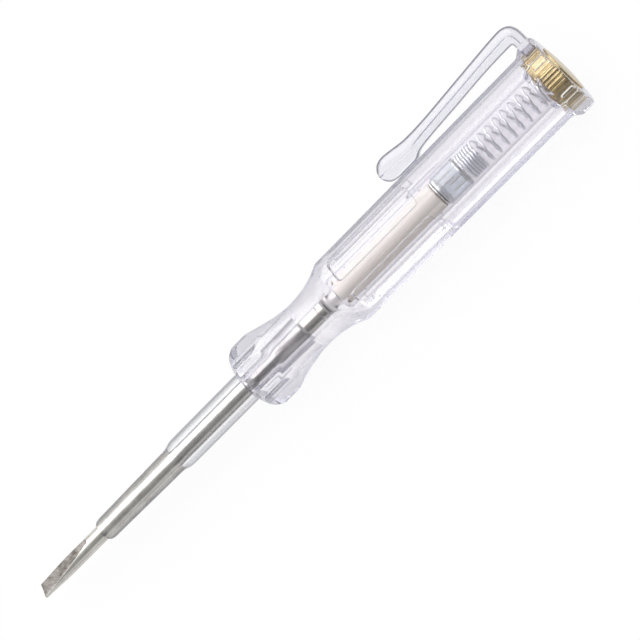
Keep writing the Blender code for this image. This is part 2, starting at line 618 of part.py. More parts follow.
def clip_outline():
    """Side view of the clip as (x, height) points, from the foot along the outside to the root."""
    root_back = CLIP_ROOT_THICKNESS / 2
    toe = root_back - CLIP_LENGTH
    touch = SIDE_HEIGHT + FIT_GAP
    span = CLIP_OUTER_HEIGHT - touch
    half_foot = CLIP_FOOT_LENGTH / 2
    toe_start = toe + CLIP_THICKNESS / 2
    widest = touch + span * TOE_SHARE
    crest = touch + span * CREST_SHARE
    dip = touch + span * DIP_SHARE
    crest_x = toe + CLIP_FOOT_LENGTH * CREST_PLACE_SHARE
    dip_x = toe + CLIP_FOOT_LENGTH
    points = [(toe_start, touch)]
    points += bezier(points[-1], ((toe + toe_start) / 2, touch), (toe, (touch + widest) / 2),
                     (toe, widest), CURVE_STEPS)
    points += bezier(points[-1], (toe, (widest + crest) / 2), ((toe + crest_x) / 2, crest),
                     (crest_x, crest), CURVE_STEPS)
    points += bezier(points[-1], ((crest_x + dip_x) / 2, crest), ((crest_x + dip_x) / 2, dip),
                     (dip_x, dip), CURVE_STEPS)
    back_start = root_back - CLIP_BACK_ROUNDING
    points += bezier(points[-1], (dip_x + CLIP_FOOT_LENGTH, dip),
                     (back_start - CLIP_FOOT_LENGTH, CLIP_OUTER_HEIGHT),
                     (back_start, CLIP_OUTER_HEIGHT), CURVE_STEPS)
    points += reversed_quarter(points[-1], (root_back, CLIP_OUTER_HEIGHT - CLIP_BACK_ROUNDING),
                               CURVE_STEPS)
    shoulder = FLANGE_RADIUS + FIT_GAP
    inner_top = CLIP_OUTER_HEIGHT - CLIP_THICKNESS
    hollow = touch + span * HOLLOW_SHARE
    hollow_x = toe + CLIP_FOOT_LENGTH + half_foot / 2
    foot_end = toe + CLIP_FOOT_LENGTH - half_foot / 4
    points += [(root_back, shoulder), (-root_back, shoulder), (-root_back, inner_top)]
    points += bezier(points[-1], (-root_back - CLIP_FOOT_LENGTH, inner_top),
                     (hollow_x + CLIP_FOOT_LENGTH, hollow), (hollow_x, hollow), CURVE_STEPS)
    points += bezier(points[-1], (foot_end, hollow), ((hollow_x + foot_end) / 2, touch),
                     (foot_end, touch), ARC_STEPS)
    return points


def build_clip(material):
    """Clear pocket clip: its side view across its width, joined to a tenon."""
    half = CLIP_WIDTH / 2
    outline = clip_outline()
    sections = [[Vector((x, height - TENON_MIDDLE, side * half)) for x, height in outline]
                for side in (-1, 1)]
    pivot = on_axis(FLANGE_MIDDLE_X) + Vector((0.0, TENON_MIDDLE, 0.0))
    clip = add_object("pocket_clip", loft_mesh("pocket_clip", sections), pivot, material)
    root_top = FLANGE_RADIUS + CLIP_ROOT_THICKNESS
    tenon_centre = on_axis(FLANGE_MIDDLE_X) + Vector((0.0, (TENON_BOTTOM + root_top) / 2, 0.0))
    tenon = block("tenon", (TENON_THICKNESS, root_top - TENON_BOTTOM, TENON_WIDTH), tenon_centre)
    add_boolean(clip, tenon, "UNION")
    return clip


def build_object():
    """Make every piece of the tester."""
    clear_scene()
    build_shaft(make_material("plated steel", (0.62, 0.61, 0.58), 0.22, 1.0))
    build_sleeve(make_material("sleeve plastic", (0.86, 0.87, 0.90), 0.12))
    build_handle(make_material("handle plastic", (0.84, 0.85, 0.91), 0.08))
    build_clip(make_material("clip plastic", (0.84, 0.85, 0.91), 0.08))
    build_cap(make_material("brass", (0.83, 0.62, 0.26), 0.28, 1.0))
    add_spring(make_material("spring wire", (0.42, 0.44, 0.47), 0.3, 1.0))
    build_lamp(make_material("lamp glass", (0.92, 0.94, 0.96), 0.04),
               make_material("lamp contact metal", (0.72, 0.70, 0.66), 0.3, 1.0),
               make_material("electrode metal", (0.66, 0.64, 0.60), 0.35, 1.0))
    build_resistor(make_material("resistor body", (0.52, 0.42, 0.33), 0.6),
                   make_material("resistor contact metal", (0.74, 0.72, 0.68), 0.3, 1.0))


build_object()
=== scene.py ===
"""Looks of a clear neon voltage tester with a screwdriver blade, a brass cap and a pocket clip.

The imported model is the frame. The pen lies along X with its blade at -X and its
cap at +X, the clip is at +Y, and the surface that it lies on is Z = 0. Lengths are
in metres, and MM turns millimetres into them. Two directions whose cosine is over
SAME_WAY count as one. Nearly all values of a noise pattern lie between NOISE_LOW and
NOISE_HIGH.
"""

import logging
import math
from collections.abc import Callable
from dataclasses import dataclass
from enum import Enum

import bmesh
import bpy
from mathutils import Matrix, Vector


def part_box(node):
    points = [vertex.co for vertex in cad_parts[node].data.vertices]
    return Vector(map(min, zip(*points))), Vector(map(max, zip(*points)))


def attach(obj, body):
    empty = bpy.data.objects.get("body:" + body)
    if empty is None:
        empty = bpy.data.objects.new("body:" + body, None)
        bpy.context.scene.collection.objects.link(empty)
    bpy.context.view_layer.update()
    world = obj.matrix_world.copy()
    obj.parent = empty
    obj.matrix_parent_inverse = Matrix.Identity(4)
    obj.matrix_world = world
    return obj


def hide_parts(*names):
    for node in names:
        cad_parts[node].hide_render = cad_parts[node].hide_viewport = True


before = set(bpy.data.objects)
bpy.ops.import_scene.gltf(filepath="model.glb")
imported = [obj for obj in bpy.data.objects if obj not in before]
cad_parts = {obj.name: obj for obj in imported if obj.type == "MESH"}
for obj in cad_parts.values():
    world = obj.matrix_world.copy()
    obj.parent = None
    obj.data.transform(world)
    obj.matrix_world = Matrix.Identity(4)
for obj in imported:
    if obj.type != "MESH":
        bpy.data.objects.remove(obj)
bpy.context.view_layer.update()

MM = 0.001
MERGE_DISTANCE = 0.0005 * MM
SEED_SIZE = 0.01 * MM
SAME_WAY = 0.999
NOISE_LOW = 0.3
NOISE_HIGH = 0.7
LOG = logging.getLogger("tester")

Points = list[tuple[float, float]]


class Body(Enum):
    """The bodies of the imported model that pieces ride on."""

    BARREL = "barrel"
    CLIP = "clip"
    CAP = "cap"
    SPRING = "spring"
    LAMP = "lamp"
    RESISTOR = "resistor"


class Join(Enum):
    """What is done with a second solid."""

    WELD = "UNION"
    CUT = "DIFFERENCE"


class Edges(Enum):
    """How sharp an edge has to be, in degrees, to stay sharp in the shading."""

    SOFT = 60.0
    CRISP = 25.0


# Shop helpers: each one does a step that a maker does by hand


def leave_all() -> None:
    """Leave edit mode and deselect every object."""
    if bpy.context.object is not None and bpy.context.object.mode != "OBJECT":
        bpy.ops.object.mode_set(mode="OBJECT")
    bpy.ops.object.select_all(action="DESELECT")


def settle(name: str) -> bpy.types.Object:
    """Name the new primitive and put its place and turn into its mesh.

    Args:
        name: The piece's name.

    Returns:
        The piece, in edit mode with everything selected.
    """
    piece = bpy.context.object
    piece.name = name
    piece.data.name = name
    bpy.ops.object.transform_apply(location=True, rotation=True, scale=True)
    bpy.ops.object.mode_set(mode="EDIT")
    bpy.ops.mesh.select_mode(type="VERT")
    bpy.ops.mesh.select_all(action="SELECT")
    return piece


def close_up(piece: bpy.types.Object) -> None:
    """Merge doubles, turn the faces outwards and leave edit mode.

    Args:
        piece: The piece that is in edit mode.
    """
    bpy.ops.mesh.select_all(action="SELECT")
    bpy.ops.mesh.remove_doubles(threshold=MERGE_DISTANCE)
    bpy.ops.mesh.normals_make_consistent(inside=False)
    bpy.ops.object.mode_set(mode="OBJECT")
    LOG.debug("%s closed up with %d faces", piece.name, len(piece.data.polygons))


def select_edges(piece: bpy.types.Object, wanted: Callable[[bmesh.types.BMEdge], bool]) -> None:
    """Select the edges that a rule wants, in edit mode.

    Args:
        piece: The piece that is in edit mode.
        wanted: The rule. It gets one edge and says whether to select it.
    """
    bpy.ops.mesh.select_mode(type="EDGE")
    bpy.ops.mesh.select_all(action="DESELECT")
    shape = bmesh.from_edit_mesh(piece.data)
    for edge in shape.edges:
        if wanted(edge):
            edge.select_set(True)
    bmesh.update_edit_mesh(piece.data)


def apply_modifiers(piece: bpy.types.Object) -> None:
    """Apply every modifier of a piece.

    Args:
        piece: The piece that carries them.
    """
    leave_all()
    bpy.context.view_layer.objects.active = piece
    piece.select_set(True)
    for modifier in list(piece.modifiers):
        bpy.ops.object.modifier_apply(modifier=modifier.name)


def combine(piece: bpy.types.Object, other: bpy.types.Object, way: Join) -> None:
    """Weld another solid to a piece or cut it out, and throw the other one away.

    Args:
        piece: The piece that stays.
        other: The solid that is welded on or cut out.
        way: Which of the two.
    """
    leave_all()
    join = piece.modifiers.new("join", "BOOLEAN")
    join.operation = way.value
    join.solver = "MANIFOLD"
    join.object = other
    apply_modifiers(piece)
    bpy.data.objects.remove(other, do_unlink=True)


def block(name: str, middle: Vector, size: tuple) -> bpy.types.Object:
    """Add a rectangular block with its place and size in its mesh.

    Args:
        name: Its name.
        middle: Where its middle is.
        size: Its three edge lengths.

    Returns:
        The block, in object mode.
    """
    leave_all()
    bpy.ops.mesh.primitive_cube_add(size=1.0, location=middle, scale=size)
    piece = settle(name)
    bpy.ops.object.mode_set(mode="OBJECT")
    return piece


class Outline(list):
    """Points of (station, radius), drawn run by run. Each run starts at the last point."""

    def line(self, end: tuple, steps: int = 1) -> None:
        """Draw a straight line.

        Args:
            end: Where it ends.
            steps: How many points it gets, evenly spread.
        """
        start = self[-1]
        for step in range(1, steps + 1):
            self.append(tuple(a + (b - a) * step / steps for a, b in zip(start, end)))

    def curve(self, pull: tuple, push: tuple, end: tuple, steps: int) -> None:
        """Draw a cubic curve.

        Args:
            pull: The handle that leads it out of its start.
            push: The handle that leads it into its end.
            end: Where it ends.
            steps: How many points it gets.
        """
        leads = (self[-1], pull, push, end)
        for step in range(1, steps + 1):
            t = step / steps
            u = 1.0 - t
            weights = (u**3, 3 * u * u * t, 3 * u * t * t, t**3)
            self.append(tuple(sum(w * p[axis] for w, p in zip(weights, leads)) for axis in (0, 1)))

    def arc(self, end: tuple, steps: int, rise_first: bool) -> None:
        """Draw a quarter of an ellipse.

        Args:
            end: Where it ends.
            steps: How many points it gets.
            rise_first: Whether it leaves its start along the radius, or else along X.
        """
        start = self[-1]
        for step in range(1, steps + 1):
            turn = math.pi / 2 * step / steps
            slow, quick = 1.0 - math.cos(turn), math.sin(turn)
            along, up = (slow, quick) if rise_first else (quick, slow)
            self.append((start[0] + (end[0] - start[0]) * along, start[1] + (end[1] - start[1]) * up))


def rod_outline(start: float, end: float, radius: float, rounding: float, steps: int,
                rings: int = 1) -> Outline:
    """The outline of a round rod with rounded ends.

    Args:
        start: The station of its front end.
        end: The station of its rear end.
        radius: Its radius.
        rounding: The radius of its rounded ends.
        steps: How many points each rounding gets.
        rings: How many points the straight run gets.

    Returns:
        The outline, from the middle of the front end to the middle of the rear one.
    """
    rod = Outline([(start, 0.0), (start, radius - rounding)])
    rod.arc((start + rounding, radius), steps, True)
    rod.line((end - rounding, radius), rings)
    rod.arc((end, radius - rounding), steps, False)
    rod.append((end, 0.0))
    return rod


def soft_min(first: float, second: float, blend: float) -> float:
    """The smaller of two heights, with the edge where they meet rounded over a blend."""
    share = min(max(0.5 + 0.5 * (second - first) / blend, 0.0), 1.0)
    return second + (first - second) * share - blend * share * (1.0 - share)


def smooth_step(value: float) -> float:
    """An even S-curve from 0 to 1."""
    value = min(max(value, 0.0), 1.0)
    return value * value * (3.0 - 2.0 * value)


@dataclass(frozen=True)
class PenLine:
    """The pen's axis, read from the frame."""

    y: float
    z: float

    def at(self, x: float, out: float = 0.0, up: float = 0.0) -> Vector:
        """The point at a station, so far toward the clip and so far up from the axis."""
        return Vector((x, self.y + out, self.z + up))

    def polar(self, point: Vector) -> tuple[float, float]:
        """The distance of a point from the axis, and its turn from straight up toward the clip."""
        across, up = point.y - self.y, point.z - self.z
        return math.hypot(across, up), math.atan2(across, up) % math.tau

    def turned_point(self, x: float, radius: float, turn: float) -> Vector:
        """The point at a station, a radius and a turn."""
        return self.at(x, radius * math.sin(turn), radius * math.cos(turn))


def node_span(node: str) -> tuple[float, float, float]:
    """The stations of a node's two ends, and half its height, which is a round node's radius."""
    low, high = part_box(node)
    return low.x, high.x, (high.z - low.z) / 2


def read_pen_line() -> PenLine:
    """The middle of the sleeve's box, which lies on the pen's axis."""
    low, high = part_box("insulating_sleeve")
    return PenLine(y=(low.y + high.y) / 2, z=(low.z + high.z) / 2)


def turned_piece(name: str, pen: PenLine, outline: Outline, sides: int) -> bpy.types.Object:
    """Turn a piece about the pen's axis.

    Args:
        name: The piece's name.
        pen: The axis.
        outline: Points of (station, radius). One that ends where it starts gives a ring.
        sides: How many columns the turned face gets.

    Returns:
        The piece, closed, with its place in its mesh.
    """
    leave_all()
    bpy.ops.mesh.primitive_plane_add(size=SEED_SIZE, location=pen.at(outline[0][0], up=outline[0][1]))
    piece = settle(name)
    bpy.ops.mesh.merge(type="CENTER")
    for (x, radius), (next_x, next_radius) in zip(outline, outline[1:]):
        step = (next_x - x, 0.0, next_radius - radius)
        bpy.ops.mesh.extrude_region_move(TRANSFORM_OT_translate={"value": step})
    bpy.ops.mesh.select_all(action="SELECT")
    bpy.ops.mesh.spin(steps=sides, angle=math.tau, center=pen.at(0.0), axis=(1.0, 0.0, 0.0))
    close_up(piece)
    return piece


def dress(piece: bpy.types.Object, edges: Edges, body: Body, node: str, slot: str,
          *finishes: "ClearPlastic | Metal | Lacquer") -> None:
    """Shade a piece, give it its finishes, hang it on the body it rides on and hide the solid it stands for.

    Args:
        piece: The finished piece.
        edges: How sharp an edge has to be to stay sharp in the shading.
        body: The body that it moves with.
        node: The solid of the frame that it stands for.
        slot: The record's finish; not used.
        *finishes: Its finishes, in the order of its slots.
    """
    leave_all()
    piece.select_set(True)
    bpy.context.view_layer.objects.active = piece
    bpy.ops.object.shade_smooth_by_angle(angle=math.radians(edges.value))
    if piece.data.materials:
        piece.data.materials.clear()
    for finish in finishes:
        piece.data.materials.append(finish.make())
    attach(piece, body.value)
    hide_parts(node)
    LOG.info("%s: %d faces, rides on %s", piece.name, len(piece.data.polygons), body.value)


# Finishes


def linear(colour: str) -> tuple[float, float, float, float]:
    """Turn an sRGB hex colour into linear red, green, blue and alpha."""
    parts = [int(colour[i : i + 2], 16) / 255 for i in (1, 3, 5)]
    return (*(p / 12.92 if p <= 0.04045 else ((p + 0.055) / 1.055) ** 2.4 for p in parts), 1.0)


def per_mm(size_mm: float) -> float:
    """The scale of a pattern whose features are this many millimetres apart."""
    return 1.0 / (size_mm * MM)


def connect(node: bpy.types.Node, links: dict) -> None:
    """Link sources to a node's inputs.

    Args:
        node: The node.
        links: Sources by input name or number: sockets, or nodes whose first output in use is meant.
    """
    for socket, source in links.items():
        if isinstance(source, bpy.types.Node):
            source = next(output for output in source.outputs if output.enabled)
        node.id_data.links.new(source, node.inputs[socket])


def add_node(tree: bpy.types.NodeTree, kind: str, values: dict | None = None, links: dict | None = None,
             **settings: object) -> bpy.types.Node:
    """Add a node to a tree.

    Args:
        tree: The node tree.
        kind: The node's type, without the words that all shader nodes start with.
        values: Input values by socket name or number.
        links: Sources by input name or number: sockets, or nodes whose first output in use is meant.
        **settings: The node's own settings.

    Returns:
        The node.
    """
    made = tree.nodes.new("ShaderNode" + kind)
    for setting, value in settings.items():
        setattr(made, setting, value)
    for socket, value in (values or {}).items():
        made.inputs[socket].default_value = value
    connect(made, links or {})
    return made


def new_material(name: str, values: dict) -> tuple[bpy.types.Material, bpy.types.NodeTree, bpy.types.Node]:
    """Start a material on a Principled shader.

    Args:
        name: What the real material is.
        values: The shader's socket values.

    Returns:
        The material, its node tree and its shader.
    """
    material = bpy.data.materials.new(name)
    material.use_nodes = True
    tree = material.node_tree
    shader = tree.nodes["Principled BSDF"]
    for socket, value in values.items():
        shader.inputs[socket].default_value = value
    return material, tree, shader


@dataclass(frozen=True)
class ClearPlastic:
    """Clear plastic or glass: it bends what lies behind it, with faint flow ripples, fine scuffs and painted
    shade at its edges.
    """

    name: str
    tint: str = "#F4F2F5"
    # The painted shade at the edges: its colour, and the facing where it starts and where it is full
    painted_edge_shade: str = "#A9A8B6"
    painted_shade_from: float = 0.25
    painted_shade_full: float = 0.75
    trapped_tint: str = "#DADADF"
    ior: float = 1.49
    roughness: float = 0.09
    ripple_size_mm: float = 3.5
    ripple_height_mm: float = 0.007
    # Real scuffs are finer: these are as coarse as they need to be to show
    scuff_size_mm: float = 0.5
    scuff_roughness: float = 0.15
    turns_inside: float = 1.5
    flow_stretch: float = 0.33

    def make(self) -> bpy.types.Material:
        """Build the material.

        Returns:
            The material.
        """
        material, tree, shader = new_material(self.name, {"IOR": self.ior, "Transmission Weight": 1.0})
        # Painted shade: the colour darkens where the skin turns away from the eye, standing in for dark
        # surroundings bent into the edges; the longer way through the plastic darkens them only a little
        facing = add_node(tree, "LayerWeight", {"Blend": 0.5}).outputs["Facing"]
        reach = {"From Min": self.painted_shade_from, "From Max": self.painted_shade_full}
        edge = add_node(tree, "MapRange", reach, {"Value": facing})
        tints = {"A": linear(self.tint), "B": linear(self.painted_edge_shade)}
        colour = add_node(tree, "Mix", tints, {"Factor": edge}, data_type="RGBA")
        place = add_node(tree, "TexCoord").outputs["Object"]
        # Flow ripples run along the pen, so they are stretched that way
        along = add_node(tree, "Mapping", {"Scale": (self.flow_stretch, 1.0, 1.0)}, {"Vector": place})
        ripple = add_node(tree, "TexNoise", {"Scale": per_mm(self.ripple_size_mm), "Detail": 1.0},
                          {"Vector": along})
        bump = add_node(tree, "Bump", {"Distance": self.ripple_height_mm * MM}, {"Height": ripple})
        scuff = add_node(tree, "TexNoise", {"Scale": per_mm(self.scuff_size_mm), "Detail": 3.0},
                         {"Vector": along})
        levels = {"From Min": 0.5, "From Max": 0.8, "To Min": self.roughness, "To Max": self.scuff_roughness}
        rough = add_node(tree, "MapRange", levels, {"Value": scuff})
        connect(shader, {"Base Color": colour, "Normal": bump, "Roughness": rough})
        # Light that is still trapped after a turn inside comes from all sides
        path = add_node(tree, "LightPath").outputs
        trapped = add_node(tree, "Math", {1: self.turns_inside}, {0: path["Glossy Depth"]},
                           operation="GREATER_THAN")
        dimmed = add_node(tree, "BsdfTranslucent", {"Color": linear(self.trapped_tint)})
        skin = add_node(tree, "MixShader", links={0: trapped, 1: shader, 2: dimmed})
        # What stands behind is lit through the plastic, so its shadow is clear
        clear = add_node(tree, "BsdfTransparent", {"Color": linear(self.tint)})
        both = add_node(tree, "MixShader", links={0: path["Is Shadow Ray"], 1: skin, 2: clear})
        connect(tree.nodes["Material Output"], {"Surface": both})
        return material


@dataclass(frozen=True)
class Metal:
    """A bare or plated metal with fine lines from how it was made."""

    name: str
    light: str
    dark: str
    roughness: float
    # The real lines are finer: these are as coarse as they need to be to show
    line_size_mm: float = 0.12
    line_stretch: float = 0.02
    line_height_mm: float = 0.0006
    spot_size_mm: float = 2.5
    dark_below: float = 0.12
    light_above: float = 0.34
    turn: tuple[float, float, float] = (0.0, 0.0, 0.0)
    smoothest_share: float = 0.8
    roughest_share: float = 1.3

    def make(self) -> bpy.types.Material:
        """Build the material.

        Returns:
            The material.
        """
        material, tree, shader = new_material(self.name, {"Metallic": 1.0})
        place = add_node(tree, "TexCoord").outputs["Object"]
        turned = add_node(tree, "Mapping", {"Rotation": self.turn}, {"Vector": place})
        along = add_node(tree, "Mapping", {"Scale": (self.line_stretch, 1.0, 1.0)}, {"Vector": turned})
        lines = add_node(tree, "TexNoise", {"Scale": per_mm(self.line_size_mm), "Detail": 2.0},
                         {"Vector": along})
        spots = add_node(tree, "TexNoise", {"Scale": per_mm(self.spot_size_mm), "Detail": 4.0},
                         {"Vector": place})
        blend = add_node(tree, "Math", links={0: lines, 1: spots}, operation="MULTIPLY")
        tone = add_node(tree, "ValToRGB", links={"Fac": blend})
        stops = ((self.dark_below, self.dark), (self.light_above, self.light))
        for element, (position, colour) in zip(tone.color_ramp.elements, stops):
            element.position = position
            element.color = linear(colour)
        rough = add_node(tree, "MapRange", {
            "From Min": NOISE_LOW, "From Max": NOISE_HIGH, "To Min": self.roughness * self.smoothest_share,
            "To Max": self.roughness * self.roughest_share}, {"Value": spots})
        bump = add_node(tree, "Bump", {"Distance": self.line_height_mm * MM}, {"Height": lines})
        connect(shader, {"Base Color": tone, "Roughness": rough, "Normal": bump})
        return material


@dataclass(frozen=True)
class Lacquer:
    """Baked lacquer on a ceramic rod: matt, a little mottled, with a faint skin of shine."""

    name: str
    light: str
    dark: str
    roughness: float = 0.45
    mottle_size_mm: float = 0.9
    smoothest_share: float = 0.85
    roughest_share: float = 1.15

    def make(self) -> bpy.types.Material:
        """Build the material.

        Returns:
            The material.
        """
        material, tree, shader = new_material(self.name, {"Coat Weight": 0.3, "Coat Roughness": 0.2})
        place = add_node(tree, "TexCoord").outputs["Object"]
        mottle = add_node(tree, "TexNoise", {"Scale": per_mm(self.mottle_size_mm), "Detail": 4.0},
                          {"Vector": place})
        tones = {"A": linear(self.dark), "B": linear(self.light)}
        tone = add_node(tree, "Mix", tones, {"Factor": mottle}, data_type="RGBA")
        rough = add_node(tree, "MapRange", {
            "From Min": NOISE_LOW, "From Max": NOISE_HIGH, "To Min": self.roughness * self.smoothest_share,
            "To Max": self.roughness * self.roughest_share}, {"Value": mottle})
        connect(shader, {"Base Color": tone, "Roughness": rough})
        return material


# Clear polystyrene, injection moulded: bright, with painted grey shade at its edges and soft flow ripples
HANDLE_PLASTIC = ClearPlastic("clear moulded polystyrene")
# The same plastic in the thin clip, which flowed faster: a little wavier, with darker painted shade where it
# turns away
CLIP_PLASTIC = ClearPlastic("clear moulded polystyrene clip", tint="#EEEDF2", painted_edge_shade="#3C3C4A",
                            painted_shade_full=0.5, ripple_size_mm=2.5)
# Clear PVC, drawn on to the rod: softer and glossier, with fainter ripples and painted grey shade at its
# edges
SLEEVE_PLASTIC = ClearPlastic("clear drawn pvc", tint="#F4F4F6", painted_edge_shade="#76767E", painted_shade_full=0.6,
                              roughness=0.02, scuff_roughness=0.04, ripple_size_mm=2.0,
                              ripple_height_mm=0.001)
# Lamp glass: clean and hard, so it is clearer and smoother than the plastics
LAMP_GLASS = ClearPlastic("soda lime lamp glass", tint="#F2F6F8", ior=1.52, roughness=0.005,
                          scuff_roughness=0.01, ripple_height_mm=0.002)
# Nickel plated carbon steel, drawn: grey with a warm cast and fine lines along the rod
PLATED_STEEL = Metal("nickel plated drawn steel", "#CFCCC6", "#B9B5AE", 0.16)
# The same rod where it was ground: bare, matt and coarsely scratched across
GROUND_STEEL = Metal("ground bare steel", "#B3ADA8", "#777069", 0.34, line_size_mm=0.13, line_stretch=0.05,
                     line_height_mm=0.005, turn=(math.radians(45.0), 0.0, math.radians(38.0)),
                     dark_below=0.16, light_above=0.32)
# Free cutting brass, turned and knurled: warm yellow, with darker streaks along it at random
BRASS = Metal("knurled brass", "#CDB784", "#8A7A56", 0.18, line_size_mm=0.2)
# Piano wire, drawn and left bare: a cool grey painted nearly white, painted light against the shade inside
# the handle
SPRING_WIRE = Metal("bare spring wire", "#F0F1F3", "#DDDFE3", 0.45, line_size_mm=0.08)
# Tinned brass pressings at the ends of lamp and resistor: slightly dull, painted extra pale as painted light
# against the shade in their narrow gaps
TINNED_BRASS = Metal("tinned brass", "#F1EFEB", "#DEDBD4", 0.35)
# Nickel electrodes of the lamp: dull grey
ELECTRODE_NICKEL = Metal("nickel electrode", "#D9D6D0", "#BFBBB4", 0.4)
# Baked lacquer of the resistor: pale tan and slightly mottled
RESISTOR_LACQUER = Lacquer("baked resistor lacquer", "#ECE7DD", "#DED8CC")


@dataclass
class BladeShaft:
    """The plated rod: ground to a blade in front, with a groove and a head at its tail."""

    pen: PenLine
    grind_length: float = 14.2 * MM
    edge_thickness: float = 0.5 * MM
    roll: float = math.radians(45.0)
    groove_width: float = 0.4 * MM
    groove_depth: float = 0.35 * MM
    head_length: float = 1.3 * MM
    chamfer: float = 0.3 * MM
    arris: float = 0.05 * MM
    sides: int = 96

    def outline(self) -> Outline:
        """Plot the rod.

        Returns:
            Its outline, from the edge to the tail.
        """
        edge, tail, radius = node_span("blade_shaft")
        groove_end = tail - self.head_length
        groove_start = groove_end - self.groove_width
        waist = radius - self.groove_depth
        ends = self.arris
        return Outline([
            (edge, 0.0),
            (edge, radius),
            (edge + self.grind_length, radius),
            (groove_start - ends, radius),
            (groove_start, radius - ends),
            (groove_start, waist),
            (groove_end, waist),
            (groove_end, radius - ends),
            (groove_end + ends, radius),
            (tail - self.chamfer, radius),
            (tail, radius - self.chamfer),
            (tail, 0.0),
        ])

    def grind(self, piece: bpy.types.Object) -> None:
        """Grind the two flats that meet the edge, and give them the finish in the second slot.

        Args:
            piece: The turned rod.
        """
        tip, _, radius = node_span("blade_shaft")
        slope = math.atan2(radius - self.edge_thickness / 2, self.grind_length)
        roll = Matrix.Rotation(-self.roll, 3, "X")
        flats = [roll @ Vector((-math.sin(slope), 0.0, side * math.cos(slope))) for side in (1, -1)]
        for side, flat in zip((1, -1), flats):
            foot = self.pen.at(tip) + roll @ Vector((0.0, 0.0, side * self.edge_thickness / 2))
            leave_all()
            bpy.context.view_layer.objects.active = piece
            bpy.ops.object.mode_set(mode="EDIT")
            bpy.ops.mesh.select_all(action="SELECT")
            bpy.ops.mesh.bisect(plane_co=foot, plane_no=flat, use_fill=True, clear_outer=True)
            select_edges(piece, lambda edge: any(
                abs(face.normal.dot(flat)) > SAME_WAY for face in edge.link_faces))
            bpy.ops.mesh.bevel(offset=self.arris, segments=2, affect="EDGES")
            close_up(piece)
        end = tip + self.grind_length + self.chamfer
        for face in piece.data.polygons:
            ground = face.center.x < end and any(face.normal.dot(flat) > SAME_WAY for flat in flats)
            face.material_index = int(ground)

    def build(self) -> None:
        """Turn, grind and plate the rod."""
        piece = turned_piece("blade_shaft_turned", self.pen, self.outline(), self.sides)
        self.grind(piece)
        dress(piece, Edges.CRISP, Body.BARREL, "blade_shaft", "plated_steel", PLATED_STEEL, GROUND_STEEL)


@dataclass
class InsulatingSleeve:
    """The clear sleeve that grips the rod: thin in front, thicker at the handle."""

    pen: PenLine
    grip: float = 0.03 * MM
    rod_radius: float = 1.65 * MM
    nose_radius: float = 2.36 * MM
    nose_length: float = 1.3 * MM
    thin_length: float = 19.3 * MM
    thin_radius: float = 2.61 * MM
    step_length: float = 3.6 * MM
    sides: int = 96
    curve_steps: int = 12

    def outline(self) -> Outline:
        """Plot the sleeve.

        Returns:
            Its outline, a ring that ends where it starts.
        """
        start, end, thick = node_span("insulating_sleeve")
        bore = self.rod_radius - self.grip
        loose = self.rod_radius + self.grip
        lip = (bore + self.nose_radius) / 2
        thin_end = start + self.thin_length
        thick_start = thin_end + self.step_length
        pull = self.step_length / 2
        steps = self.curve_steps
        sleeve = Outline([(start, bore), (start, lip)])
        sleeve.arc((start + self.nose_length, self.nose_radius), steps, True)
        sleeve.line((thin_end, self.thin_radius), steps)
        sleeve.curve((thin_end + pull, self.thin_radius), (thick_start - pull, thick),
                     (thick_start, thick), steps)
        sleeve.line((end, thick), steps)
        sleeve += [(end, loose), (thick_start, loose), (thin_end, bore), (start, bore)]
        return sleeve

    def build(self) -> None:
        """Turn the sleeve."""
        piece = turned_piece("insulating_sleeve_turned", self.pen, self.outline(), self.sides)
        dress(piece, Edges.CRISP, Body.BARREL, "insulating_sleeve", "sleeve_plastic", SLEEVE_PLASTIC)


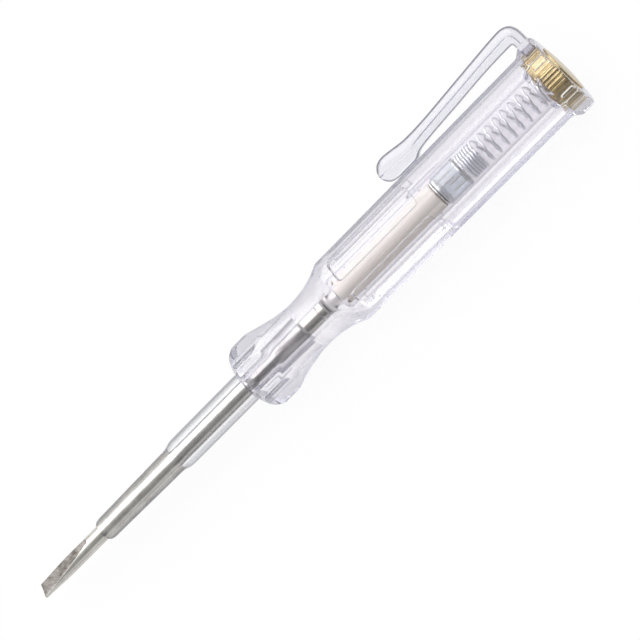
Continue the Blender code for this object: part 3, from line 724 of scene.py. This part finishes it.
@dataclass
class Handle:
    """The clear handle: hexagonal collar, waist, six-ribbed grip with sunk panels, flange, stepped bore."""

    pen: PenLine
    gap: float = 0.04 * MM
    nose_length: float = 2.9 * MM
    nose_lip: float = 0.5 * MM
    collar_land: float = 2.4 * MM
    collar_flat: float = 6.15 * MM
    collar_side: float = 7.04 * MM
    collar_end: float = 22.9 * MM
    waist_depth: float = 15.85 * MM
    waist_radius: float = 5.07 * MM
    waist_sag: float = 0.5 * MM
    shoulder_depth: float = 27.25 * MM
    shoulder_sag: float = 0.25 * MM
    rib_height: float = 7.25 * MM
    side_height: float = 6.89 * MM
    panel_start: float = 26.95 * MM
    panel_length: float = 19.7 * MM
    panel_half_width: float = 2.35 * MM
    panel_depth: float = 0.55 * MM
    panel_corner: float = 0.9 * MM
    panel_wall: float = 0.25 * MM
    flange_radius: float = 8.05 * MM
    flange_land: float = 1.8 * MM
    flange_flare: float = 1.9 * MM
    flange_rounding: float = 0.9 * MM
    blank_excess: float = 0.125 * MM
    edge_blend: float = 0.09 * MM
    sleeve_depth: float = 14.9 * MM
    shaft_depth: float = 21.0 * MM
    chamber_radius: float = 3.4 * MM
    front_taper: float = 3.5 * MM
    rear_taper: float = 1.9 * MM
    seat_depth: float = 0.5 * MM
    cap_barrel_radius: float = 4.45 * MM
    press: float = 0.08 * MM
    tenon_thickness: float = 2.0 * MM
    tenon_width: float = 4.0 * MM
    tenon_floor: float = 5.2 * MM
    tenon_ease: float = 0.12 * MM
    ribs: int = 6
    # Rings of the skin along each run of the outline
    nose_rings: int = 22
    land_rings: int = 6
    waist_rings: int = 26
    shoulder_rings: int = 60
    panel_end_rings: int = 16
    panel_rings: int = 6
    rear_rings: int = 8
    flare_rings: int = 14
    flange_rings: int = 4
    rim_rings: int = 14
    # Columns of the skin in half a sixth, in degrees from a rib's middle: closest at rib and panel edges
    columns: tuple = (
        0.0, 3.0, 6.0, 7.8, 8.8, 9.5, 10.2, 10.7, 11.2, 11.7, 12.4, 13.3, 14.4, 15.6, 16.8, 18.1,
        20.0, 22.0, 24.0, 25.3, 26.2, 27.2, 28.3, 29.2)

    def __post_init__(self) -> None:
        """Read the two ends and what the bore holds from the frame."""
        self.nose, self.rear, _ = node_span("handle")
        self.length = self.rear - self.nose
        self.sleeve_bore = node_span("insulating_sleeve")[-1] + self.gap
        self.rod_bore = node_span("blade_shaft")[-1] + self.gap
        cap_start, _, head = node_span("end_cap")
        self.barrel_start = cap_start - self.nose
        self.head_bore = head + self.gap

    def skin_outline(self) -> Outline:
        """Plot the turned blank's skin.

        Returns:
            Its outline from the nose's mouth to the rear's rim, as depths from the nose.
        """
        mouth = self.sleeve_bore + self.nose_lip
        collar = self.collar_side + self.blank_excess
        flange = self.flange_radius + self.blank_excess
        land_end = self.nose_length + self.collar_land
        waist_pull = (self.waist_depth - land_end) / 2
        shoulder_pull = (self.shoulder_depth - self.waist_depth) / 2
        waist = self.waist_radius
        skin = Outline([(0.0, mouth)])
        skin.arc((self.nose_length, collar), self.nose_rings, True)
        skin.line((land_end, collar), self.land_rings)
        skin.curve((land_end + waist_pull, (collar + waist) / 2 - self.waist_sag),
                   (self.waist_depth - waist_pull / 2, waist), (self.waist_depth, waist), self.waist_rings)
        skin.curve((self.waist_depth + shoulder_pull, waist),
                   (self.shoulder_depth - shoulder_pull / 2, self.rib_height - self.shoulder_sag),
                   (self.shoulder_depth, flange), self.shoulder_rings)
        panel_end = self.panel_start + self.panel_length
        band = self.panel_corner + self.panel_wall
        flange_start = self.length - self.flange_rounding
        flare_end = flange_start - self.flange_land
        for depth, rings in ((self.panel_start + band, self.panel_end_rings),
                             (panel_end - band, self.panel_rings),
                             (panel_end + self.panel_wall, self.panel_end_rings),
                             (flare_end - self.flange_flare - self.edge_blend, self.rear_rings),
                             (flare_end + self.edge_blend, self.flare_rings),
                             (flange_start, self.flange_rings)):
            skin.line((depth, flange), rings)
        skin.arc((self.length, self.side_height), self.rim_rings, False)
        return skin

    def bore_outline(self) -> Outline:
        """Plot the stepped bore.

        Returns:
            Its outline from the rear to the nose, as depths from the nose.
        """
        barrel = self.cap_barrel_radius - self.press
        seat = self.length - self.seat_depth
        return Outline([
            (self.length, self.head_bore),
            (seat, self.head_bore),
            (seat, barrel),
            (self.barrel_start + self.rear_taper / 2, barrel),
            (self.barrel_start - self.rear_taper / 2, self.chamber_radius),
            (self.shaft_depth + self.front_taper, self.chamber_radius),
            (self.shaft_depth, self.rod_bore),
            (self.sleeve_depth + self.gap, self.rod_bore),
            (self.sleeve_depth + self.gap, self.sleeve_bore),
            (0.0, self.sleeve_bore),
        ])

    def bore_radius(self, depth: float) -> float:
        """Find where the bore ends and the skin begins.

        Args:
            depth: How far behind the nose.

        Returns:
            A radius between the two.
        """
        if depth < self.sleeve_depth + 2 * self.gap:
            return self.sleeve_bore + self.gap
        if depth < self.shoulder_depth:
            return self.chamber_radius + 2 * self.gap
        return self.cap_barrel_radius + self.nose_lip

    def facet_heights(self, depth: float) -> tuple[float, float]:
        """Find how far the flats lie from the axis.

        Args:
            depth: How far behind the nose.

        Returns:
            The distance of the rib flats, and of the sides between them.
        """
        flare_end = self.length - self.flange_rounding - self.flange_land
        grip = smooth_step((depth - self.collar_end) / (self.shoulder_depth - self.collar_end))
        flare = smooth_step((depth - flare_end + self.flange_flare) / self.flange_flare)
        flat = self.collar_flat + (self.rib_height - self.collar_flat) * grip
        side = self.collar_side + (self.side_height - self.collar_side) * grip
        return flat, side + (self.flange_radius - self.side_height) * flare

    def panel_share(self, depth: float, aside: float) -> float:
        """Find how deep the sunk panel is at a place on a side.

        Args:
            depth: How far behind the nose.
            aside: How far from the side's middle line.

        Returns:
            The share of its full depth, from 0 outside it to 1 on its floor.
        """
        half = self.panel_length / 2
        along = abs(depth - self.panel_start - half) - half + self.panel_corner
        across = abs(aside) - self.panel_half_width + self.panel_corner
        outside = math.hypot(max(along, 0.0), max(across, 0.0)) + min(max(along, across), 0.0)
        return smooth_step(0.5 - (outside - self.panel_corner) / self.panel_wall)

    def skin_radius(self, depth: float, turn: float, turned: float) -> float:
        """How far the skin lies from the axis once its flats are milled.

        Args:
            depth: How far behind the nose.
            turn: The angle from straight up.
            turned: The turned blank's radius there.

        Returns:
            The milled radius.
        """
        sixth = math.tau / self.ribs
        off_rib = (turn + sixth / 2) % sixth - sixth / 2
        off_side = sixth / 2 - abs(off_rib)
        flat, side = self.facet_heights(depth)
        side -= self.panel_depth * self.panel_share(depth, side * math.tan(off_side))
        radius = soft_min(turned, flat / math.cos(off_rib), self.edge_blend)
        return soft_min(radius, side / math.cos(off_side), self.edge_blend)

    def mill_flats(self, piece: bpy.types.Object) -> None:
        """Gather the columns at the edges, and bring the skin in to its flats and panels.

        Args:
            piece: The turned blank with its bore.
        """
        half = [math.radians(column) for column in self.columns]
        sixth = math.tau / self.ribs
        full = half + [sixth / 2] + [sixth - column for column in reversed(half[1:])]
        spacing = sixth / len(full)
        for corner in piece.data.vertices:
            radius, turn = self.pen.polar(corner.co)
            column = round(turn / spacing)
            turn = (column // len(full)) * sixth + full[column % len(full)]
            depth = corner.co.x - self.nose
            if radius > self.bore_radius(depth):
                radius = self.skin_radius(depth, turn, radius)
            corner.co = self.pen.turned_point(corner.co.x, radius, turn)
        piece.data.update()

    def cut_mortise(self, piece: bpy.types.Object) -> None:
        """Cut the square pocket that holds the clip's tenon.

        Args:
            piece: The milled handle.
        """
        middle = self.rear - self.flange_rounding - self.flange_land / 2
        reach = self.flange_radius - self.tenon_floor
        size = (self.tenon_thickness + 2 * self.tenon_ease, 2 * reach, self.tenon_width + 2 * self.gap)
        cutter = block("mortise_cutter", self.pen.at(middle, out=self.tenon_floor + reach), size)
        combine(piece, cutter, Join.CUT)

    def build(self) -> None:
        """Turn, mill and hollow the handle."""
        ring = self.skin_outline() + self.bore_outline()
        outline = Outline((self.nose + depth, radius) for depth, radius in [*ring, ring[0]])
        sides = self.ribs * 2 * len(self.columns)
        piece = turned_piece("handle_moulded", self.pen, outline, sides)
        self.mill_flats(piece)
        self.cut_mortise(piece)
        dress(piece, Edges.CRISP, Body.BARREL, "handle", "handle_plastic", HANDLE_PLASTIC)


@dataclass
class PocketClip:
    """The clear clip: a curved bar with a rounded inner face, a ledge along each side and a crowned back.

    It stands on a square tenon.
    """

    pen: PenLine
    half_width: float = 2.75 * MM
    toe_half_width: float = 1.7 * MM
    toe_length: float = 2.2 * MM
    crown: float = 1.5 * MM
    inner_rounding: float = 0.9 * MM
    ledge: float = 0.2 * MM
    corner_steps: int = 6
    steps_between: int = 6
    tenon_thickness: float = 2.0 * MM
    tenon_width: float = 4.0 * MM
    tenon_bottom: float = 5.3 * MM
    tenon_overlap: float = 0.2 * MM
    # Where the bar is thin or narrow, its roundings and ledge are at most these shares of its size
    crown_share: float = 0.48
    crown_width_share: float = 0.9
    inner_share: float = 0.3
    inner_width_share: float = 0.5
    ledge_share: float = 0.1
    # The bar's side view, as pairs of inner and outer points of (length behind the toe, height from the axis)
    inner_mm: tuple = (
        (0.0, 9.28), (0.18, 8.3), (0.95, 7.4), (2.4, 7.0), (4.6, 6.97), (6.9, 7.02), (8.5, 7.72),
        (12.3, 8.15), (18.5, 8.53), (25.4, 9.0), (30.4, 9.13), (32.2, 9.1), (32.6, 8.85), (32.65, 8.45),
        (32.65, 8.14))
    outer_mm: tuple = (
        (0.0, 9.42), (0.25, 10.5), (1.1, 11.35), (2.6, 11.7), (4.6, 11.5), (7.1, 11.12), (9.6, 11.05),
        (13.6, 11.2), (19.2, 11.62), (26.0, 12.13), (31.2, 12.46), (33.1, 12.38), (34.3, 11.75),
        (34.95, 10.4), (35.0, 8.14))

    def smooth_run(self, points: tuple) -> Points:
        """Draw a smooth run through chosen points.

        Args:
            points: The points of (length behind the toe, height from the axis), in millimetres.

        Returns:
            The run as points of (station, height), in metres.
        """
        low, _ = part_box("pocket_clip")
        run = []
        last = len(points) - 1
        for index in range(last):
            around = [points[min(max(index + k, 0), last)] for k in (-1, 0, 1, 2)]
            for step in range(self.steps_between):
                t = step / self.steps_between
                # How much each of the four points counts, twice over
                weights = (-t + 2 * t**2 - t**3, 2 - 5 * t**2 + 3 * t**3,
                           t + 4 * t**2 - 3 * t**3, t**3 - t**2)
                along, height = (sum(w * p[axis] for w, p in zip(weights, around)) / 2 for axis in (0, 1))
                run.append((low.x + along * MM, height * MM))
        run.append((low.x + points[-1][0] * MM, points[-1][1] * MM))
        return run

    def section(self, half_width: float, thickness: float) -> Points:
        """The bar's section as points of (across, height), from the inner face round to it again.

        Args:
            half_width: Half the bar's width there.
            thickness: How thick the bar is there.

        Returns:
            The points: rounded at the inner face, with a ledge on each side, crowned at the back.
        """
        points = []
        crown = min(self.crown, thickness * self.crown_share, half_width * self.crown_width_share)
        inner = min(self.inner_rounding, thickness * self.inner_share, half_width * self.inner_width_share)
        ledge = min(self.ledge, thickness * self.ledge_share)
        narrow, middle = half_width - ledge, thickness / 2
        corners = ((1, 0, inner, narrow), (1, 1, crown, half_width), (-1, 1, crown, half_width),
                   (-1, 0, inner, narrow))
        for index, (side, top, rounding, reach) in enumerate(corners):
            across = side * (reach - rounding)
            height = top * thickness + (1 - 2 * top) * rounding
            start = math.radians(-90.0 + 90.0 * index)
            for step in range(self.corner_steps + 1):
                turn = start + math.radians(90.0) * step / self.corner_steps
                points.append((across + rounding * math.cos(turn), height + rounding * math.sin(turn)))
            if index == 0:
                points += [(narrow, middle - ledge), (half_width, middle)]
            if index == 2:
                points += [(-half_width, middle), (-narrow, middle - ledge)]
        return points

    def add_tenon(self, piece: bpy.types.Object, x: float, root: float) -> None:
        """Weld the square tenon to the bar's root.

        Args:
            piece: The bar.
            x: The station of the root's middle.
            root: How far the root's end face lies from the axis.
        """
        top = root + self.tenon_overlap
        size = (self.tenon_thickness, top - self.tenon_bottom, self.tenon_width)
        tenon = block("clip_tenon", self.pen.at(x, out=(top + self.tenon_bottom) / 2), size)
        combine(piece, tenon, Join.WELD)

    def build(self) -> None:
        """Extrude a ring along the bar, shape each ring, and add the tenon."""
        inner = self.smooth_run(self.inner_mm)
        outer = self.smooth_run(self.outer_mm)
        toe = inner[0][0]
        count = len(self.section(self.half_width, self.half_width))
        leave_all()
        bpy.ops.mesh.primitive_circle_add(vertices=count, radius=self.crown, fill_type="NGON",
                                          location=self.pen.at(toe), rotation=(0.0, math.pi / 2, 0.0))
        piece = settle("pocket_clip_moulded")
        for _ in inner[1:]:
            bpy.ops.mesh.extrude_region_move(TRANSFORM_OT_translate={"value": (self.crown, 0.0, 0.0)})
        bpy.ops.object.mode_set(mode="OBJECT")
        for ring in range(len(inner)):
            low, high = Vector((*inner[ring], 0.0)), Vector((*outer[ring], 0.0))
            rise = (high - low).normalized()
            share = math.sqrt(min(max((high.x - toe) / self.toe_length, 0.0), 1.0))
            half_width = self.toe_half_width + (self.half_width - self.toe_half_width) * share
            for corner, (across, height) in enumerate(self.section(half_width, (high - low).length)):
                place = low + rise * height
                piece.data.vertices[ring * count + corner].co = self.pen.at(place.x, out=place.y, up=across)
        bpy.ops.object.mode_set(mode="EDIT")
        close_up(piece)
        self.add_tenon(piece, (inner[-1][0] + outer[-1][0]) / 2, inner[-1][1])
        dress(piece, Edges.CRISP, Body.CLIP, "pocket_clip", "clip_plastic", CLIP_PLASTIC)


@dataclass
class EndCap:
    """The brass cap: a tapered nose, a fluted barrel and a domed head."""

    pen: PenLine
    nose_radius: float = 2.9 * MM
    nose_length: float = 0.9 * MM
    barrel_length: float = 3.5 * MM
    barrel_radius: float = 4.45 * MM
    head_edge: float = 0.35 * MM
    rounding: float = 0.12 * MM
    flute_depth: float = 0.16 * MM
    flute_sharpness: float = 1.5
    flutes: int = 36
    columns_per_flute: int = 8
    nose_rings: int = 3
    barrel_rings: int = 4
    dome_rings: int = 12

    def outline(self) -> Outline:
        """Plot the cap.

        Returns:
            Its outline, from its nose to the middle of its dome.
        """
        nose, dome, head = node_span("end_cap")
        barrel = nose + self.nose_length
        seat = barrel + self.barrel_length
        cap = Outline([(nose, 0.0), (nose, self.nose_radius - self.rounding)])
        cap.arc((nose + self.rounding, self.nose_radius), self.nose_rings, True)
        cap.line((barrel, self.barrel_radius), self.nose_rings)
        cap.line((seat, self.barrel_radius), self.barrel_rings)
        cap.append((seat, head - self.rounding))
        cap.arc((seat + self.rounding, head), self.barrel_rings, True)
        cap.append((seat + self.head_edge, head))
        cap.arc((dome, 0.0), self.dome_rings, False)
        return cap

    def flute(self, piece: bpy.types.Object) -> None:
        """Roll the flutes into the barrel.

        Args:
            piece: The turned cap.
        """
        barrel = node_span("end_cap")[0] + self.nose_length
        seat = barrel + self.barrel_length
        for corner in piece.data.vertices:
            radius, turn = self.pen.polar(corner.co)
            on_barrel = barrel - self.rounding < corner.co.x < seat + self.rounding
            if on_barrel and radius < self.barrel_radius + self.rounding:
                wave = 0.5 - 0.5 * math.cos(turn * self.flutes)
                depth = self.flute_depth * wave**self.flute_sharpness
                corner.co = self.pen.turned_point(corner.co.x, radius - depth, turn)
        piece.data.update()

    def build(self) -> None:
        """Turn and flute the cap."""
        piece = turned_piece("end_cap_turned", self.pen, self.outline(), self.flutes * self.columns_per_flute)
        self.flute(piece)
        dress(piece, Edges.CRISP, Body.CAP, "end_cap", "brass", BRASS)


@dataclass
class ContactSpring:
    """The wire spring: close turns at the lamp, open turns to the cap and one close turn there."""

    pen: PenLine
    wire_radius: float = 0.225 * MM
    close_turns: int = 6
    open_turns: int = 8
    end_turns: int = 1
    close_pitch_in_wires: float = 1.25
    points_per_turn: int = 24

    def build(self) -> None:
        """Wind the wire."""
        start, end, radius = node_span("contact_spring")
        radius -= self.wire_radius
        start, end = start + self.wire_radius, end - self.wire_radius
        close_pitch = 2 * self.wire_radius * self.close_pitch_in_wires
        open_pitch = (end - start - close_pitch * (self.close_turns + self.end_turns)) / self.open_turns
        pitches = [close_pitch] * self.close_turns + [open_pitch] * self.open_turns
        pitches += [close_pitch] * self.end_turns
        path = bpy.data.curves.new("contact_spring_wound", "CURVE")
        path.dimensions = "3D"
        path.bevel_depth = self.wire_radius
        path.bevel_resolution = 3
        path.use_fill_caps = True
        spline = path.splines.new("POLY")
        spline.points.add(len(pitches) * self.points_per_turn)
        x = start
        for index, point in enumerate(spline.points):
            turn = math.tau * index / self.points_per_turn
            point.co = (*self.pen.turned_point(x, radius, turn), 1.0)
            x += pitches[min(index // self.points_per_turn, len(pitches) - 1)] / self.points_per_turn
        piece = bpy.data.objects.new("contact_spring_wound", path)
        bpy.context.scene.collection.objects.link(piece)
        leave_all()
        bpy.context.view_layer.objects.active = piece
        piece.select_set(True)
        bpy.ops.object.convert(target="MESH")
        piece = bpy.context.object
        bpy.ops.object.mode_set(mode="EDIT")
        close_up(piece)
        dress(piece, Edges.SOFT, Body.SPRING, "contact_spring", "spring_wire", SPRING_WIRE)


@dataclass
class NeonLamp:
    """The neon lamp: a glass tube, a contact disc in each end and an electrode on each contact."""

    pen: PenLine
    wall: float = 0.25 * MM
    rounding: float = 0.1 * MM
    tip_share: float = 0.7
    steps: int = 4
    wall_rings: int = 6
    sides: int = 64
    electrode_sides: int = 24

    def build_glass(self) -> None:
        """Turn the tube, with its ends melted round."""
        front, rear, outer = node_span("lamp_glass")
        bore = outer - self.wall
        r = self.rounding
        tube = Outline([(front, bore + r), (front, outer - r)])
        tube.arc((front + r, outer), self.steps, True)
        tube.line((rear - r, outer), self.wall_rings)
        tube.arc((rear, outer - r), self.steps, False)
        tube.append((rear, bore + r))
        tube.arc((rear - r, bore), self.steps, True)
        tube.line((front + r, bore), self.wall_rings)
        tube.arc((front, bore + r), self.steps, False)
        piece = turned_piece("lamp_glass_tube", self.pen, tube, self.sides)
        dress(piece, Edges.SOFT, Body.LAMP, "lamp_glass", "lamp_glass", LAMP_GLASS)

    def build_contact(self, end: str) -> None:
        """Turn a contact disc that closes one end of the tube.

        Args:
            end: Which end of the lamp, front or rear.
        """
        node = f"lamp_{end}_contact"
        points = rod_outline(*node_span(node), self.rounding, self.steps)
        piece = turned_piece(f"{node}_pressed", self.pen, points, self.sides)
        dress(piece, Edges.CRISP, Body.LAMP, node, "contact_metal", TINNED_BRASS)

    def build_electrode(self, end: str) -> None:
        """Form an electrode: a round rod with a domed tip.

        Args:
            end: Which end of the lamp, front or rear.
        """
        node = f"lamp_{end}_electrode"
        low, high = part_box(node)
        radius = (high.z - low.z) / 2
        leave_all()
        bpy.ops.mesh.primitive_cylinder_add(
            vertices=self.electrode_sides, radius=radius, depth=high.x - low.x, location=(low + high) / 2,
            rotation=(0.0, math.pi / 2, 0.0))
        piece = settle(f"{node}_drawn")
        select_edges(piece, lambda edge: abs(edge.verts[0].co.x - edge.verts[1].co.x) < MERGE_DISTANCE)
        bpy.ops.mesh.bevel(offset=radius * self.tip_share, segments=self.steps, affect="EDGES")
        close_up(piece)
        dress(piece, Edges.SOFT, Body.LAMP, node, "electrode_metal", ELECTRODE_NICKEL)

    def build(self) -> None:
        """Build the tube, the contacts and the electrodes."""
        self.build_glass()
        for end in ("front", "rear"):
            self.build_contact(end)
            self.build_electrode(end)


@dataclass
class Resistor:
    """The series resistor: a lacquered rod between a nosed contact and a flat one."""

    pen: PenLine
    rounding: float = 0.25 * MM
    nose_radius: float = 1.3 * MM
    nose_length: float = 1.0 * MM
    flat_rounding_share: float = 1 / 3
    end_steps: int = 5
    body_rings: int = 8
    nose_steps: int = 10
    flat_steps: int = 3
    sides: int = 64

    def build_body(self) -> None:
        """Turn the rod, with soft lacquered ends."""
        points = rod_outline(*node_span("resistor_body"), self.rounding, self.end_steps, self.body_rings)
        piece = turned_piece("resistor_body_lacquered", self.pen, points, self.sides)
        dress(piece, Edges.SOFT, Body.RESISTOR, "resistor_body", "resistor_ceramic", RESISTOR_LACQUER)

    def build_contacts(self) -> None:
        """Turn the nosed front contact and the flat rear one."""
        nose, back, radius = node_span("resistor_front_contact")
        nosed = Outline([(nose, 0.0), (nose, self.nose_radius)])
        nosed.arc((nose + self.nose_length, radius), self.nose_steps, True)
        nosed += [(back, radius), (back, 0.0)]
        front = turned_piece("resistor_front_contact_pressed", self.pen, nosed, self.sides)
        dress(front, Edges.CRISP, Body.RESISTOR, "resistor_front_contact", "contact_metal", TINNED_BRASS)
        start, end, _ = node_span("resistor_rear_contact")
        points = rod_outline(start, end, radius, (end - start) * self.flat_rounding_share, self.flat_steps)
        rear = turned_piece("resistor_rear_contact_pressed", self.pen, points, self.sides)
        dress(rear, Edges.CRISP, Body.RESISTOR, "resistor_rear_contact", "contact_metal", TINNED_BRASS)

    def build(self) -> None:
        """Build the rod and its contacts."""
        self.build_body()
        self.build_contacts()


@dataclass
class Studio:
    """The pale floor, the soft light and the camera."""

    pen: PenLine
    # The camera leans toward the cap by this angle and is rolled so that the pen rises to the right
    lean: float = math.radians(15.0)
    roll: float = math.radians(45.17)
    distance: float = 321.2 * MM
    lens: float = 100.0
    sensor: float = 36.0
    aim_x: float = 7.10 * MM
    aim_out: float = -0.83 * MM
    floor_size: float = 4.0
    floor_drop: float = 0.02 * MM
    floor_colour: str = "#F8F8F8"
    white: str = "#FFFFFF"
    light_colour: str = "#FDFEFF"
    floor_squares: int = 8
    near_share: float = 0.05
    white_to_camera: float = 0.9
    white_to_gloss: float = 0.5
    white_to_glass: float = 0.2
    plain: float = 0.95
    # Lobes of the light: the way they face, the cosines of their rim and of their core, and what they add
    lobes: tuple = (((0.0, 0.81, 0.59), 0.70, 0.915, 2.2), ((0.0, -0.34, 0.94), 0.70, 0.94, -0.5),
                    ((0.0, -0.67, 0.74), 0.87, 0.97, -0.25), ((0.97, 0.0, 0.24), 0.6, 0.95, -0.6),
                    ((0.0, 0.0, -1.0), -0.2, -0.02, -0.5))

    def build_camera(self) -> None:
        """Place the camera at the photograph's viewing angle."""
        along = Vector((math.cos(self.lean), 0.0, -math.sin(self.lean)))
        back = Vector((math.sin(self.lean), 0.0, math.cos(self.lean)))
        clip_way = Vector((0.0, 1.0, 0.0))
        right = math.cos(self.roll) * along - math.sin(self.roll) * clip_way
        up = math.sin(self.roll) * along + math.cos(self.roll) * clip_way
        place = self.pen.at(self.aim_x, out=self.aim_out) + back * self.distance
        lens = bpy.data.cameras.new("camera")
        lens.lens = self.lens
        lens.sensor_width = self.sensor
        lens.clip_start = self.distance * self.near_share
        camera = bpy.data.objects.new("camera", lens)
        turn = Matrix((right, up, back)).transposed().to_4x4()
        camera.matrix_world = Matrix.Translation(place) @ turn
        bpy.context.scene.collection.objects.link(camera)
        bpy.context.scene.camera = camera

    def build_floor(self) -> None:
        """Lay the floor: white to the camera, with the pen's soft shadow."""
        leave_all()
        bpy.ops.mesh.primitive_grid_add(x_subdivisions=self.floor_squares, y_subdivisions=self.floor_squares,
                                        size=self.floor_size, location=(0.0, 0.0, -self.floor_drop))
        floor = settle("studio_floor")
        bpy.ops.object.mode_set(mode="OBJECT")
        material = bpy.data.materials.new("matt white studio board")
        material.use_nodes = True
        tree = material.node_tree
        tree.nodes.clear()
        board = add_node(tree, "BsdfDiffuse", {"Color": linear(self.floor_colour)})
        white = add_node(tree, "Emission", {"Color": linear(self.white), "Strength": 1.0})
        path = add_node(tree, "LightPath").outputs
        parts = [add_node(tree, "Math", {1: whiteness}, {0: path[ray]}, operation="MULTIPLY")
                 for ray, whiteness in (("Is Camera Ray", self.white_to_camera),
                                        ("Is Glossy Ray", self.white_to_gloss),
                                        ("Is Transmission Ray", self.white_to_glass))]
        share = parts[0]
        for part in parts[1:]:
            share = add_node(tree, "Math", links={0: share, 1: part}, operation="MAXIMUM")
        both = add_node(tree, "MixShader", links={0: share, 1: board, 2: white})
        add_node(tree, "OutputMaterial", links={"Surface": both})
        floor.data.materials.append(material)

    def build_world(self) -> None:
        """Light the pen in a plain bright room, brightest beyond the clip and dimmer above and at the cap."""
        world = bpy.data.worlds.new("soft studio light")
        world.use_nodes = True
        tree = world.node_tree
        tree.nodes.clear()
        way = add_node(tree, "TexCoord").outputs["Generated"]
        total = add_node(tree, "Math", {0: self.plain, 1: 0.0}, operation="ADD")
        for toward, rim, core, strength in self.lobes:
            facing = add_node(tree, "VectorMath", {1: toward}, {0: way}, operation="DOT_PRODUCT")
            levels = {"From Min": rim, "From Max": core, "To Min": 0.0, "To Max": strength}
            lobe = add_node(tree, "MapRange", levels, {"Value": facing}, interpolation_type="SMOOTHSTEP")
            total = add_node(tree, "Math", links={0: total, 1: lobe}, operation="ADD")
        light = add_node(tree, "Background", {"Color": linear(self.light_colour)}, {"Strength": total})
        white = add_node(tree, "Background", {"Color": linear(self.white), "Strength": 1.0})
        to_camera = add_node(tree, "LightPath").outputs["Is Camera Ray"]
        shown = add_node(tree, "MixShader", links={0: to_camera, 1: light, 2: white})
        add_node(tree, "OutputWorld", links={"Surface": shown})
        bpy.context.scene.world = world
        bpy.context.scene.view_settings.view_transform = "Standard"

    def build(self) -> None:
        """Build the camera, the floor and the light."""
        self.build_camera()
        self.build_floor()
        self.build_world()


def main() -> None:
    """Build the studio and every sub-assembly, and log each one as it is done."""
    logging.basicConfig(level=logging.INFO, format="%(name)s: %(message)s")
    pen = read_pen_line()
    parts = (Studio, BladeShaft, InsulatingSleeve, Handle, PocketClip, EndCap, ContactSpring, NeonLamp,
             Resistor)
    for part in parts:
        part(pen).build()
        LOG.info("%s done", part.__name__)
    leave_all()


if __name__ == "__main__":
    main()
